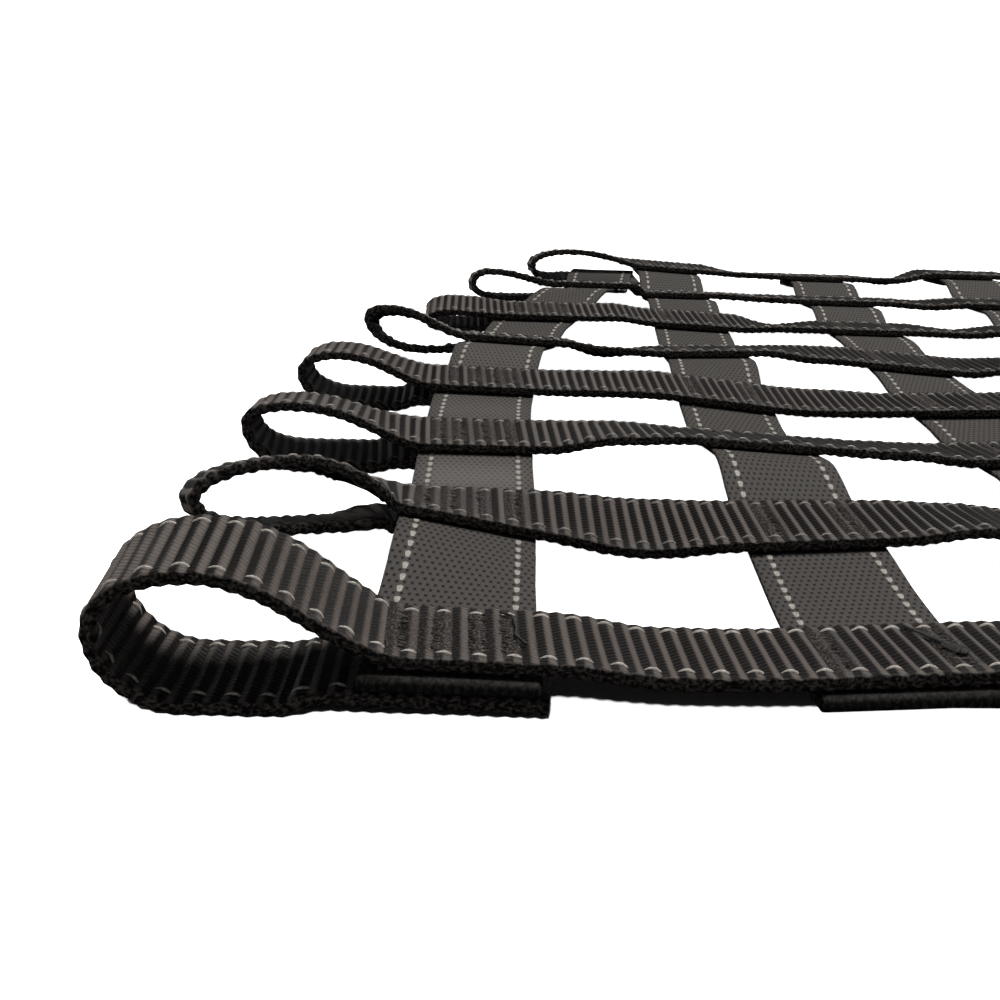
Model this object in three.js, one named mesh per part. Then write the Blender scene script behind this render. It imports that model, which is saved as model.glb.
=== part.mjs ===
import * as THREE from 'three';

// Window safety net: ribbed row straps with a rod loop at each end, sewn over flat cross straps.
// It lies loosely on a flat surface. Millimetres, +Z up, +X along the rows, +Y away from row 1.

// Driving dimensions
const ROW_WIDTH = 25;
const CROSS_WIDTH = 25;
const ROW_THICKNESS = 2.4;
const CROSS_THICKNESS = 1.1;
const LAYER_GAP = 0.3;
const PITCH = 65;
const CROSS_COUNT = 6;
// The cross straps lie this much askew, sideways per millimetre of depth.
const SKEW = 0.06;
// A loop's upper leg keeps its lean over this share of its fall, and bows up by this power of the share.
const LEAN_HOLD = 0.4;
const FALL_BOW = 1.2;
// A loop takes up its swing over this length.
const SWING_START = 12;
// Half the length over which a strap stays flat where it is sewn.
const SEAT_ALONG_ROW = 15;
const SEAT_ALONG_CROSS = 17;
// A row's turned leg stays flat this far out from the cross strap, and then settles over this length.
const LEG_START = 4.8;
const LEG_SETTLE = 6;
// A tilted leg is held off the surface as if it were this much wider, because it also turns a little.
const LEG_ALLOWANCE = 1.4;
// A cross strap's end fold stands this far out from the outer row, and reaches this far back under it.
const FOLD_OVERHANG = 1.5;
const FOLD_REACH = 14;
// At the drawn-in corner, the end fold of cross strap 1 stops this far short of its place.
const CORNER_SHORT = 16;

// Faceting
const RUN_STEP = 6;
const TWIST_STEP = 2;
const LOOP_QUARTER_STEPS = 7;
const LOOP_FALL_STEPS = 7;
const LOOP_LEG_STEPS = 3;
const CROSS_GAP_STEPS = 6;
const FOLD_TURN_STEPS = 4;
// Two stations of a row strap stay at least this far apart where its loops meet its run.
const STATION_ROOM = 1;

// Each row strap as it lies. y is its centre line. shift moves its seams on cross straps 1 to 4 sideways.
// c1 to c4 are its seams and g1 to g3 the gaps between them, each with the height of the strap's middle
// and its tilt in degrees, near edge up. Past those columns it lies plainly.
const ROWS = [
  {
    y: -5, shift: [2.5, 1.1, -3, 0],
    c1: [7.7, 2.4], g1: [5.5, 3.4], c2: [6.75, 3.7],
    g2: [7, 2.5], c3: [5, 0], g3: [5, 0], c4: [5, 0],
  },
  {
    y: 68, shift: [2, 1.1, -3, 0],
    c1: [7.2, 2.3], g1: [3.9, -7], c2: [5.4, -1.6],
    g2: [6.9, 4.6], c3: [5, 2], g3: [4, 0], c4: [4, 0],
  },
  {
    y: 130, shift: [0.4, -1, -4, -2],
    c1: [6.7, -0.9], g1: [8.1, 4.4], c2: [7, 8],
    g2: [5.6, 7.7], c3: [5.8, 4.8], g3: [5.4, 0], c4: [4.4, 1],
  },
  {
    y: 194, shift: [0, -2, -4.5, -3],
    c1: [7, -0.9], g1: [6.8, -1.3], c2: [5.2, -2.7],
    g2: [3.3, -1.5], c3: [3.9, 1.2], g3: [4.8, 3.1], c4: [4.2, 1.6],
  },
  {
    y: 257, shift: [4, -0.5, -4.5, -3],
    c1: [7.7, 7.8], g1: [4.4, 12.5], c2: [5.6, 6.4],
    g2: [5.5, 1.2], c3: [3.9, 0], g3: [4, 4], c4: [4.8, 4],
  },
  {
    y: 324, shift: [13, 0, -4.5, -3.5],
    c1: [6.4, -1.8], g1: [6.7, -2], c2: [4.8, -1.9],
    g2: [2.9, 7], c3: [3.7, 3], g3: [2.8, 6.4], c4: [4.5, 5.5],
  },
  {
    y: 385, shift: [31, 0.5, -3, -4],
    c1: [7.8, 8], g1: [8, 7.2], c2: [5.2, 6.5],
    g2: [4.7, 5.4], c3: [4.6, 4.8], g3: [4, 3.5], c4: [5.2, 3.4],
  },
  {
    y: 448, shift: [38.5, 0, -1.5, -5],
    c1: [9.1, 0], g1: [9.1, 0.2], c2: [8.4, 1],
    g2: [5.7, 7], c3: [5.6, 5], g3: [4.9, 9], c4: [8.7, 3.5],
  },
];
// Seams where the row strap slants along its row or twists. row and cross count from 1, slant is in degrees,
// right side up, and twist in degrees of tilt per millimetre to the right.
const SEAM_TURNS = [
  { row: 1, cross: 1, slant: -1.5, twist: 0 },
  { row: 1, cross: 2, slant: 3.4, twist: 0 },
  { row: 2, cross: 1, slant: -5.5, twist: -0.37 },
  { row: 2, cross: 2, slant: 2.6, twist: 0.08 },
  { row: 3, cross: 2, slant: -3, twist: 0 },
  { row: 3, cross: 3, slant: 3, twist: 0 },
  { row: 4, cross: 1, slant: -1.2, twist: 0 },
  { row: 4, cross: 2, slant: -5.5, twist: 0 },
  { row: 4, cross: 3, slant: 2.4, twist: 0 },
  { row: 5, cross: 1, slant: -2.3, twist: 0 },
  { row: 5, cross: 2, slant: 2, twist: 0 },
  { row: 5, cross: 3, slant: -3.9, twist: 0 },
  { row: 6, cross: 2, slant: -2.2, twist: 0 },
  { row: 8, cross: 2, slant: -3, twist: 0 },
];
const SEAM_COLUMNS = ['c1', 'c2', 'c3', 'c4'];
const GAP_COLUMNS = ['g1', 'g2', 'g3'];
const PLAIN_HEIGHT = ROW_THICKNESS / 2 + LAYER_GAP + CROSS_THICKNESS;
const PLAIN_FOLDED_HEIGHT = PLAIN_HEIGHT + CROSS_THICKNESS + LAYER_GAP;
// Slack between the last row's upper leg and cross strap 1, which it only catches from below.
const LAST_ROW_SLACK = 1.1;

// The rod loops on the left. reach is from the cross strap's outer edge to the tip, rise the outer height,
// belly the height of the tip, heel and crown the distances from the tip to where the loop leaves the
// surface and to its highest place, closes how far in over the cross strap the upper leg comes down,
// tail how far the turned leg shows past the cross strap. lean is the tilt of the loop, leg the tilt of its
// lower leg and swing its turn towards row 1, in degrees.
const LEFT_LOOPS = [
  {
    reach: 37.1, rise: 21.5, belly: 12.6, heel: 14.1, crown: 14.1,
    closes: 7, tail: 2.4, lean: -2, leg: 0.5, swing: 0,
  },
  {
    reach: 39.5, rise: 16.8, belly: 9.7, heel: 14.8, crown: 18.1,
    closes: 1.8, tail: -1, lean: 14.3, leg: 13, swing: 13.3,
  },
  {
    reach: 38.9, rise: 14.4, belly: 9.6, heel: 13, crown: 10.6,
    closes: 1, tail: -1, lean: 6.2, leg: 0, swing: 0.8,
  },
  {
    reach: 36, rise: 14.8, belly: 9, heel: 14, crown: 9.8,
    closes: -1, tail: -1, lean: 3.4, leg: 0.5, swing: -0.8,
  },
  {
    reach: 29.7, rise: 15.9, belly: 12.3, heel: 16, crown: 6.7,
    closes: 0.7, tail: -5, lean: 11.2, leg: 10.3, swing: -3.5,
  },
  {
    reach: 26.4, rise: 8.8, belly: 4.7, heel: 9.2, crown: 9.4,
    closes: 2.8, tail: -5, lean: -3.9, leg: 0, swing: -1,
  },
  {
    reach: 32.7, rise: 13, belly: 7.5, heel: 10, crown: 7.4,
    closes: 0.5, tail: -10, lean: 6.9, leg: 5.4, swing: 1.4,
  },
  {
    reach: 18.6, rise: 14.3, belly: 7.6, heel: 9, crown: 17.6,
    closes: 29, tail: -1, lean: 6.2, leg: -2, swing: 0.5,
  },
];
// The rod loops on the right all lie alike, apart from a small change in rise from row to row.
const RIGHT_LOOP = {
  reach: 36, rise: 16, belly: 9, heel: 13, crown: 11, closes: 0, tail: -1, lean: 0, leg: 0, swing: 0,
};
const RIGHT_RISE_CHANGES = [1, -1, 2, 0, -2, 1, 0, -1];

const ROW_COLOUR = 0x2b2827;
const CROSS_COLOUR = 0x4a4644;
const WEBBING_ROUGHNESS = 0.85;

const radians = (degrees) => THREE.MathUtils.degToRad(degrees);
const mix = (from, to, share) => from + (to - from) * share;
const ease = (share) => share * share * (3 - 2 * share);

function isOuterRow(row) {
  return row === 0 || row === ROWS.length - 1;
}

// How far apart the middles of two stacked layers are, measured straight up through a tilted stack.
function stackStep(thickness, tilt) {
  return thickness / Math.cos(radians(tilt));
}

function seamX(row, cross) {
  const shift = ROWS[row].shift[cross] ?? 0;
  return PITCH * cross + SKEW * ROWS[row].y + shift;
}

function seam(row, cross) {
  const column = SEAM_COLUMNS[cross];
  const plain = [isOuterRow(row) ? PLAIN_FOLDED_HEIGHT : PLAIN_HEIGHT, 0];
  const isRightEdge = cross === CROSS_COUNT - 1;
  const [height, tilt] = column ? ROWS[row][column] : plain;
  const lift = isRightEdge ? ROW_THICKNESS + LAYER_GAP : 0;
  const isHere = (turn) => turn.row === row + 1 && turn.cross === cross + 1;
  const { slant, twist } = SEAM_TURNS.find(isHere) ?? { slant: 0, twist: 0 };
  return { x: seamX(row, cross), z: height + lift, tilt, rise: Math.tan(radians(slant)), twist };
}

// The middle of a row strap on its seat over a cross strap.
function seatAt(row, cross, x) {
  const middle = seam(row, cross);
  const away = x - middle.x;
  return { ...middle, x, z: middle.z + middle.rise * away, tilt: middle.tilt + middle.twist * away };
}

function gap(row, after) {
  const left = seam(row, after);
  const right = seam(row, after + 1);
  const column = GAP_COLUMNS[after];
  const between = [(left.z + right.z) / 2, (left.tilt + right.tilt) / 2];
  const [z, tilt] = column ? ROWS[row][column] : between;
  return { x: (left.x + right.x) / 2, z, tilt, rise: 0, twist: 0 };
}

// The knots of a row strap's upper run: straight on each seam, free between them.
function runKnots(row) {
  const knots = [];
  for (let cross = 0; cross < CROSS_COUNT; cross += 1) {
    const here = seam(row, cross);
    const room = (neighbour) => Math.abs(seamX(row, neighbour) - here.x) / 2 - LAYER_GAP;
    const leftSeat = cross > 0 ? Math.min(SEAT_ALONG_ROW, room(cross - 1)) : SEAT_ALONG_ROW;
    const rightSeat = cross < CROSS_COUNT - 1 ? Math.min(SEAT_ALONG_ROW, room(cross + 1)) : SEAT_ALONG_ROW;
    knots.push(seatAt(row, cross, here.x - leftSeat));
    knots.push(seatAt(row, cross, here.x + rightSeat));
    if (cross < CROSS_COUNT - 1) {
      knots.push(gap(row, cross));
    }
  }
  return knots;
}

// A cubic with given end values and slopes.
function hermite(from, fromSlope, to, toSlope, length, share) {
  const square = share * share;
  const cube = square * share;
  return (2 * cube - 3 * square + 1) * from
    + (cube - 2 * square + share) * length * fromSlope
    + (3 * square - 2 * cube) * to
    + (cube - square) * length * toSlope;
}

function runAt(knots, x) {
  let next = knots.findIndex((knot) => knot.x > x);
  next = next < 0 ? knots.length - 1 : Math.max(next, 1);
  const before = knots[next - 1];
  const after = knots[next];
  const length = after.x - before.x;
  const share = THREE.MathUtils.clamp((x - before.x) / length, 0, 1);
  return {
    x,
    z: hermite(before.z, before.rise, after.z, after.rise, length, share),
    tilt: hermite(before.tilt, before.twist, after.tilt, after.twist, length, share),
  };
}

// Steps for a stretch of a row's run: few over a seam unless the strap twists there, more where it bends.
function runSteps(row, x, length) {
  for (let cross = 0; cross < CROSS_COUNT; cross += 1) {
    const here = seam(row, cross);
    if (Math.abs(x - here.x) < SEAT_ALONG_ROW) {
      return here.twist === 0 ? 1 : Math.ceil(length / TWIST_STEP);
    }
  }
  return Math.max(1, Math.round(length / RUN_STEP));
}

// A rod loop, from the cut end of its lower leg to where its upper leg comes down. side is -1 on the left
// and 1 on the right. Distances are measured outwards from the outer cross strap's outer edge.
function loopPath(row, loop, side, knots) {
  const cross = side < 0 ? 0 : CROSS_COUNT - 1;
  const top = seam(row, cross);
  const slack = side < 0 && row === ROWS.length - 1 ? LAST_ROW_SLACK : 0;
  const layers = isOuterRow(row) ? 2 * CROSS_THICKNESS + LAYER_GAP : CROSS_THICKNESS;
  const edge = top.x + (side * CROSS_WIDTH) / 2;
  const outward = (distance) => edge + side * distance;
  const legUnder = (distance) => {
    const above = seatAt(row, cross, outward(distance));
    const drop = stackStep(ROW_THICKNESS + layers + 2 * LAYER_GAP, above.tilt);
    return { x: above.x, z: above.z - slack - drop, tilt: above.tilt };
  };
  const half = ROW_THICKNESS / 2;
  const floorZ = half + (ROW_WIDTH / 2 + LEG_ALLOWANCE) * Math.sin(Math.abs(radians(loop.leg)));
  const tip = loop.reach - half;
  const heel = loop.reach - loop.heel;
  const crown = loop.reach - loop.crown;
  const crownZ = loop.rise - half;
  const stations = [];

  const cutEnd = -CROSS_WIDTH - loop.tail;
  const underSteps = top.twist === 0 ? 1 : Math.ceil((LEG_START - cutEnd) / TWIST_STEP);
  for (let step = 0; step <= underSteps; step += 1) {
    stations.push(legUnder(mix(cutEnd, LEG_START, step / underSteps)));
  }
  const legStart = legUnder(LEG_START);
  const restStart = Math.min(LEG_START + LEG_SETTLE, (LEG_START + heel) / 2);
  for (let step = 1; step <= LOOP_LEG_STEPS; step += 1) {
    const share = step / LOOP_LEG_STEPS;
    const soft = ease(share);
    stations.push({
      x: outward(mix(LEG_START, restStart, share)),
      z: mix(legStart.z, floorZ, soft),
      tilt: mix(legStart.tilt, loop.leg, soft),
    });
  }
  for (let step = 0; step <= LOOP_QUARTER_STEPS; step += 1) {
    const share = step / LOOP_QUARTER_STEPS;
    const angle = (share * Math.PI) / 2;
    stations.push({
      x: outward(heel + (tip - heel) * Math.sin(angle)),
      z: mix(loop.belly, floorZ, Math.cos(angle)),
      tilt: mix(loop.leg, loop.lean, ease(share)),
    });
  }
  for (let step = 1; step <= LOOP_QUARTER_STEPS; step += 1) {
    const angle = ((step / LOOP_QUARTER_STEPS) * Math.PI) / 2;
    stations.push({
      x: outward(crown + (tip - crown) * Math.cos(angle)),
      z: mix(loop.belly, crownZ, Math.sin(angle)),
      tilt: loop.lean,
    });
  }
  const landing = runAt(knots, outward(-loop.closes));
  for (let step = 1; step <= LOOP_FALL_STEPS; step += 1) {
    const share = step / LOOP_FALL_STEPS;
    const untilt = Math.max(0, (share - LEAN_HOLD) / (1 - LEAN_HOLD));
    const x = outward(mix(crown, -loop.closes, share));
    const leastZ = loop.closes < CROSS_WIDTH ? seatAt(row, cross, x).z : landing.z;
    stations.push({
      x,
      z: Math.max(leastZ, mix(crownZ, landing.z, ease(share ** FALL_BOW))),
      tilt: mix(loop.lean, landing.tilt, ease(untilt)),
    });
  }

  // A leaning loop leans as a whole, so its upper parts move back as far as its lean says.
  const halfRise = loop.rise / 2;
  for (const station of stations) {
    const outside = Math.max(0, (station.x - edge) * side);
    const free = ease(Math.min(1, (2 * outside) / loop.reach));
    const back = (station.z - halfRise) * Math.tan(radians(station.tilt)) * free;
    station.swing = loop.swing * ease(Math.min(1, outside / SWING_START));
    station.y = ROWS[row].y + back - outside * Math.tan(radians(station.swing));
  }
  return stations;
}

function rowPath(row) {
  const knots = runKnots(row);
  const rightLoop = { ...RIGHT_LOOP, rise: RIGHT_LOOP.rise + RIGHT_RISE_CHANGES[row] };
  const left = loopPath(row, LEFT_LOOPS[row], -1, knots);
  const right = loopPath(row, rightLoop, 1, knots).reverse();
  const from = left.at(-1).x;
  const to = right[0].x;
  const stations = [...left];
  const isClear = (x) => x > from + STATION_ROOM && x < to - STATION_ROOM;
  const marks = [from, ...knots.map((knot) => knot.x).filter(isClear), to];
  for (let mark = 1; mark < marks.length; mark += 1) {
    const length = marks[mark] - marks[mark - 1];
    const steps = runSteps(row, (marks[mark - 1] + marks[mark]) / 2, length);
    for (let step = 1; step <= steps; step += 1) {
      const x = mix(marks[mark - 1], marks[mark], step / steps);
      const isLast = mark === marks.length - 1 && step === steps;
      if (!isLast) {
        stations.push({ ...runAt(knots, x), y: ROWS[row].y, swing: 0 });
      }
    }
  }
  return [...stations, ...right];
}

function crossX(cross, y) {
  const last = ROWS.length - 1;
  let next = ROWS.findIndex((row) => row.y > y);
  next = THREE.MathUtils.clamp(next < 0 ? last : next, 1, last);
  const slopeAt = (row) => {
    const before = Math.max(row - 1, 0);
    const after = Math.min(row + 1, last);
    return (seamX(after, cross) - seamX(before, cross)) / (ROWS[after].y - ROWS[before].y);
  };
  const length = ROWS[next].y - ROWS[next - 1].y;
  const share = (y - ROWS[next - 1].y) / length;
  if (share < 0) {
    return seamX(0, cross) + slopeAt(0) * (y - ROWS[0].y);
  }
  if (share > 1) {
    return seamX(last, cross) + slopeAt(last) * (y - ROWS[last].y);
  }
  return hermite(seamX(next - 1, cross), slopeAt(next - 1), seamX(next, cross), slopeAt(next), length, share);
}

// The middle of a cross strap this far behind a row's middle: its height, slope along it and roll across it.
function crossSeat(row, cross, away) {
  const above = seam(row, cross);
  const slack = cross === 0 && row === ROWS.length - 1 ? LAST_ROW_SLACK : 0;
  const drop = stackStep((ROW_THICKNESS + CROSS_THICKNESS) / 2 + LAYER_GAP, above.tilt);
  const y = ROWS[row].y + away;
  const slope = -Math.tan(radians(above.tilt));
  const roll = above.rise - radians(above.twist) * away;
  const sideways = crossX(cross, y) - above.x;
  return { y, z: above.z - slack - drop + slope * away + roll * sideways, slope, roll };
}

// The end of a cross strap folded under itself, from the cut end to the start of the upper layer.
function foldPath(row, cross, side) {
  const seat = crossSeat(row, cross, 0);
  const drop = CROSS_THICKNESS + LAYER_GAP;
  const slopeAngle = Math.atan(seat.slope);
  const place = (along, under) => ({
    y: seat.y + along * Math.cos(slopeAngle) + under * Math.sin(slopeAngle),
    z: seat.z + along * Math.sin(slopeAngle) - under * Math.cos(slopeAngle),
    slope: seat.slope,
    roll: seat.roll,
    x: seamX(row, cross),
    veer: 0,
  });
  const short = cross === 0 && side > 0 ? CORNER_SHORT : 0;
  const edge = side * (ROW_WIDTH / 2 + FOLD_OVERHANG - drop / 2 - short);
  const stations = [place(edge - side * (FOLD_REACH + ROW_WIDTH / 2), drop), place(edge, drop)];
  for (let step = 1; step < FOLD_TURN_STEPS; step += 1) {
    const angle = (step / FOLD_TURN_STEPS) * Math.PI;
    stations.push(place(edge + side * (drop / 2) * Math.sin(angle), (drop / 2) * (1 + Math.cos(angle))));
  }
  stations.push(place(edge, 0));
  return stations;
}

function crossPath(cross) {
  const last = ROWS.length - 1;
  const stations = foldPath(0, cross, -1);
  for (let row = 0; row < last; row += 1) {
    const here = crossSeat(row, cross, SEAT_ALONG_CROSS);
    const there = crossSeat(row + 1, cross, -SEAT_ALONG_CROSS);
    for (let step = 0; step <= CROSS_GAP_STEPS; step += 1) {
      const share = step / CROSS_GAP_STEPS;
      const soft = ease(share);
      stations.push({
        y: mix(here.y, there.y, share),
        z: hermite(here.z, here.slope, there.z, there.slope, there.y - here.y, share),
        slope: mix(here.slope, there.slope, soft),
        roll: mix(here.roll, there.roll, soft),
      });
    }
    const seatSteps = seam(row + 1, cross).twist === 0 ? 1 : Math.ceil((2 * SEAT_ALONG_CROSS) / TWIST_STEP);
    for (let step = 1; step < seatSteps; step += 1) {
      stations.push(crossSeat(row + 1, cross, mix(-SEAT_ALONG_CROSS, SEAT_ALONG_CROSS, step / seatSteps)));
    }
  }
  stations.push(...foldPath(last, cross, 1).reverse());
  const nearby = 0.5;
  for (const station of stations.filter(({ x }) => x === undefined)) {
    const { y } = station;
    station.x = crossX(cross, y);
    station.veer = (crossX(cross, y + nearby) - crossX(cross, y - nearby)) / (2 * nearby);
  }
  return stations;
}

// A flat strap swept along its stations. widthAt gives the wanted width direction at a station.
function sweepStrap(stations, width, thickness, widthAt) {
  const points = stations.map((station) => new THREE.Vector3(station.x, station.y, station.z));
  const positions = [];
  const indices = [];
  const corners = [[1, 1], [-1, 1], [-1, -1], [1, -1]];
  points.forEach((point, index) => {
    const before = points[Math.max(index - 1, 0)];
    const after = points[Math.min(index + 1, points.length - 1)];
    const into = point.clone().sub(before).normalize();
    const out = after.clone().sub(point).normalize();
    const tangent = into.add(out).normalize();
    const side = widthAt(stations[index]);
    side.addScaledVector(tangent, -side.dot(tangent)).normalize();
    const normal = tangent.clone().cross(side);
    for (const [across, up] of corners) {
      const corner = point.clone();
      corner.addScaledVector(side, (across * width) / 2);
      corner.addScaledVector(normal, (up * thickness) / 2);
      positions.push(corner.x, corner.y, corner.z);
    }
  });
  const sides = corners.length;
  for (let ring = 0; ring < points.length - 1; ring += 1) {
    for (let corner = 0; corner < sides; corner += 1) {
      const a = ring * sides + corner;
      const b = ring * sides + ((corner + 1) % sides);
      indices.push(a, b, b + sides, a, b + sides, a + sides);
    }
  }
  const end = (points.length - 1) * sides;
  indices.push(0, 2, 1, 0, 3, 2, end, end + 1, end + 2, end, end + 2, end + 3);
  const geometry = new THREE.BufferGeometry();
  geometry.setAttribute('position', new THREE.Float32BufferAttribute(positions, 3));
  geometry.setIndex(indices);
  geometry.computeVertexNormals();
  return geometry;
}

function strapMesh(name, geometry, colour) {
  const material = new THREE.MeshStandardMaterial({ color: colour, metalness: 0 });
  material.roughness = WEBBING_ROUGHNESS;
  const mesh = new THREE.Mesh(geometry, material);
  mesh.name = name;
  return mesh;
}

const net = new THREE.Group();

for (let row = 0; row < ROWS.length; row += 1) {
  const rowWidth = (station) => {
    const tilt = radians(station.tilt);
    const swing = radians(station.swing);
    const level = Math.cos(tilt);
    return new THREE.Vector3(-level * Math.sin(swing), level * Math.cos(swing), -Math.sin(tilt));
  };
  const geometry = sweepStrap(rowPath(row), ROW_WIDTH, ROW_THICKNESS, rowWidth);
  net.add(strapMesh(`row_strap_${row + 1}`, geometry, ROW_COLOUR));
}

for (let cross = 0; cross < CROSS_COUNT; cross += 1) {
  const crossWidth = ({ veer, slope, roll }) => new THREE.Vector3(-1, veer, veer * slope - roll);
  const geometry = sweepStrap(crossPath(cross), CROSS_WIDTH, CROSS_THICKNESS, crossWidth);
  net.add(strapMesh(`cross_strap_${cross + 1}`, geometry, CROSS_COLOUR));
}

// The origin is under the middle of the net, on the surface that it lies on.
const extent = new THREE.Box3().setFromObject(net);
const middle = extent.getCenter(new THREE.Vector3());
net.position.set(-middle.x, -middle.y, -extent.min.z);

export default net;
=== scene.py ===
import math

import bpy
import numpy as np
from mathutils import Matrix, Vector


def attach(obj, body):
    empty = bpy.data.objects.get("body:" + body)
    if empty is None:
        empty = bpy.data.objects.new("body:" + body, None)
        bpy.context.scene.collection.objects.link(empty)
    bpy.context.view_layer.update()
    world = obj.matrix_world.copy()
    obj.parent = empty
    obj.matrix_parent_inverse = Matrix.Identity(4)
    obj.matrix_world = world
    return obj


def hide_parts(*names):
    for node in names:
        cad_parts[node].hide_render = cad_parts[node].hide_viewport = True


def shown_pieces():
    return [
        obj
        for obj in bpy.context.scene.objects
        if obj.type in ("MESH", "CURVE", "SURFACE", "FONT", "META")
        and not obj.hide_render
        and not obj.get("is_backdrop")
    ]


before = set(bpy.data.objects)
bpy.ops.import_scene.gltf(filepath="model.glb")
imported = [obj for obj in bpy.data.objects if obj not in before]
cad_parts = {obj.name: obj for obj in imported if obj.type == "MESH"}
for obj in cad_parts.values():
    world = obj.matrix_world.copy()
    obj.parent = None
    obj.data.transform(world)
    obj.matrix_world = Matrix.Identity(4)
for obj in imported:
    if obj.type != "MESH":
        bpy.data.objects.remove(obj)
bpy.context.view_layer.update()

# Window safety net: ribbed row straps with rod loops, sewn over flat cross straps, lying on a pale floor.
# The tables are the part's own, in millimetres, and every mesh is made in metres.
MM = 0.001
# From the net's own corner to the middle of its box, where the frame's origin is.
NET_TO_FRAME = np.array([-175.8521, -221.4629, 0.0033])
chance = np.random.default_rng(11)

# Webbing
ROW_WIDTH = 25
CROSS_WIDTH = 25
ROW_THICKNESS = 2.4
CROSS_THICKNESS = 1.1
LAYER_GAP = 0.3
PITCH = 65
CROSS_COUNT = 6
SKEW = 0.06
LEAN_HOLD = 0.4
FALL_BOW = 1.2
SWING_START = 12
SEAT_ALONG_ROW = 15
SEAT_ALONG_CROSS = 17
LEG_START = 4.8
LEG_SETTLE = 6
LEG_ALLOWANCE = 1.4
FOLD_OVERHANG = 1.5
FOLD_REACH = 14
CORNER_SHORT = 16
LAST_ROW_SLACK = 1.1
# Stations along each stretch of a path, and the step of a row's upper run.
LEG_STATIONS = 13
SETTLE_STATIONS = 9
BEND_STATIONS = 21
FALL_STATIONS = 25
SPAN_STATIONS = 25
FOLD_STATIONS = 9
RUN_STEP = 1.5
# How far a strap's middle line is smoothed along its length.
ROW_SMOOTHING = 1.5
CROSS_SMOOTHING = 0.3
PLAIN_HEIGHT = ROW_THICKNESS / 2 + LAYER_GAP + CROSS_THICKNESS
PLAIN_FOLDED_HEIGHT = PLAIN_HEIGHT + CROSS_THICKNESS + LAYER_GAP

# Each row strap as it lies: y of its centre line, shift of its seams on cross straps 1 to 4, and height and
# tilt at its seams c1 to c4 and in the gaps g1 to g3 between them.
ROWS = [
    dict(y=-5, shift=(2.5, 1.1, -3, 0), c1=(7.7, 2.4), g1=(5.5, 3.4), c2=(6.75, 3.7), g2=(7, 2.5),
         c3=(5, 0), g3=(5, 0), c4=(5, 0)),
    dict(y=68, shift=(2, 1.1, -3, 0), c1=(7.2, 2.3), g1=(3.9, -7), c2=(5.4, -1.6), g2=(6.9, 4.6),
         c3=(5, 2), g3=(4, 0), c4=(4, 0)),
    dict(y=130, shift=(0.4, -1, -4, -2), c1=(6.7, -0.9), g1=(8.1, 4.4), c2=(7, 8), g2=(5.6, 7.7),
         c3=(5.8, 4.8), g3=(5.4, 0), c4=(4.4, 1)),
    dict(y=194, shift=(0, -2, -4.5, -3), c1=(7, -0.9), g1=(6.8, -1.3), c2=(5.2, -2.7), g2=(3.3, -1.5),
         c3=(3.9, 1.2), g3=(4.8, 3.1), c4=(4.2, 1.6)),
    dict(y=257, shift=(4, -0.5, -4.5, -3), c1=(7.7, 7.8), g1=(4.4, 12.5), c2=(5.6, 6.4), g2=(5.5, 1.2),
         c3=(3.9, 0), g3=(4, 4), c4=(4.8, 4)),
    dict(y=324, shift=(13, 0, -4.5, -3.5), c1=(6.4, -1.8), g1=(6.7, -2), c2=(4.8, -1.9), g2=(2.9, 7),
         c3=(3.7, 3), g3=(2.8, 6.4), c4=(4.5, 5.5)),
    dict(y=385, shift=(31, 0.5, -3, -4), c1=(7.8, 8), g1=(8, 7.2), c2=(5.2, 6.5), g2=(4.7, 5.4),
         c3=(4.6, 4.8), g3=(4, 3.5), c4=(5.2, 3.4)),
    dict(y=448, shift=(38.5, 0, -1.5, -5), c1=(9.1, 0), g1=(9.1, 0.2), c2=(8.4, 1), g2=(5.7, 7),
         c3=(5.6, 5), g3=(4.9, 9), c4=(8.7, 3.5)),
]
LAST_ROW = len(ROWS) - 1
# Seams, by row and cross strap, where the strap slants along its row or twists: slant in degrees, right side
# up, and twist in degrees of tilt per millimetre to the right.
SEAM_TURNS = {
    (0, 0): (-1.5, 0), (0, 1): (3.4, 0),
    (1, 0): (-5.5, -0.37), (1, 1): (2.6, 0.08),
    (2, 1): (-3, 0), (2, 2): (3, 0),
    (3, 0): (-1.2, 0), (3, 1): (-5.5, 0), (3, 2): (2.4, 0),
    (4, 0): (-2.3, 0), (4, 1): (2, 0), (4, 2): (-3.9, 0),
    (5, 1): (-2.2, 0),
    (7, 1): (-3, 0),
}

# The rod loops on the left, and the plain one on the right with its change in rise from row to row.
LOOP_COLUMNS = ("reach", "rise", "belly", "heel", "crown", "closes", "tail", "lean", "leg", "swing")
LEFT_LOOPS = [dict(zip(LOOP_COLUMNS, values)) for values in (
    (37.1, 21.5, 12.6, 14.1, 14.1, 7, 2.4, -2, 0.5, 0),
    (39.5, 16.8, 9.7, 14.8, 18.1, 1.8, -1, 14.3, 13, 13.3),
    (38.9, 14.4, 9.6, 13, 10.6, 1, -1, 6.2, 0, 0.8),
    (36, 14.8, 9, 14, 9.8, -1, -1, 3.4, 0.5, -0.8),
    (29.7, 15.9, 12.3, 16, 6.7, 0.7, -5, 11.2, 10.3, -3.5),
    (26.4, 8.8, 4.7, 9.2, 9.4, 2.8, -5, -3.9, 0, -1),
    (32.7, 13, 7.5, 10, 7.4, 0.5, -10, 6.9, 5.4, 1.4),
    (18.6, 14.3, 7.6, 9, 17.6, 29, -1, 6.2, -2, 0.5),
)]
RIGHT_LOOP = dict(zip(LOOP_COLUMNS, (36, 16, 9, 13, 11, 0, -1, 0, 0, 0)))
RIGHT_RISE_CHANGES = (1, -1, 2, 0, -2, 1, 0, -1)


def mix(start, end, share):
    return start + (end - start) * share


def ease(share):
    return share * share * (3 - 2 * share)


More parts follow.
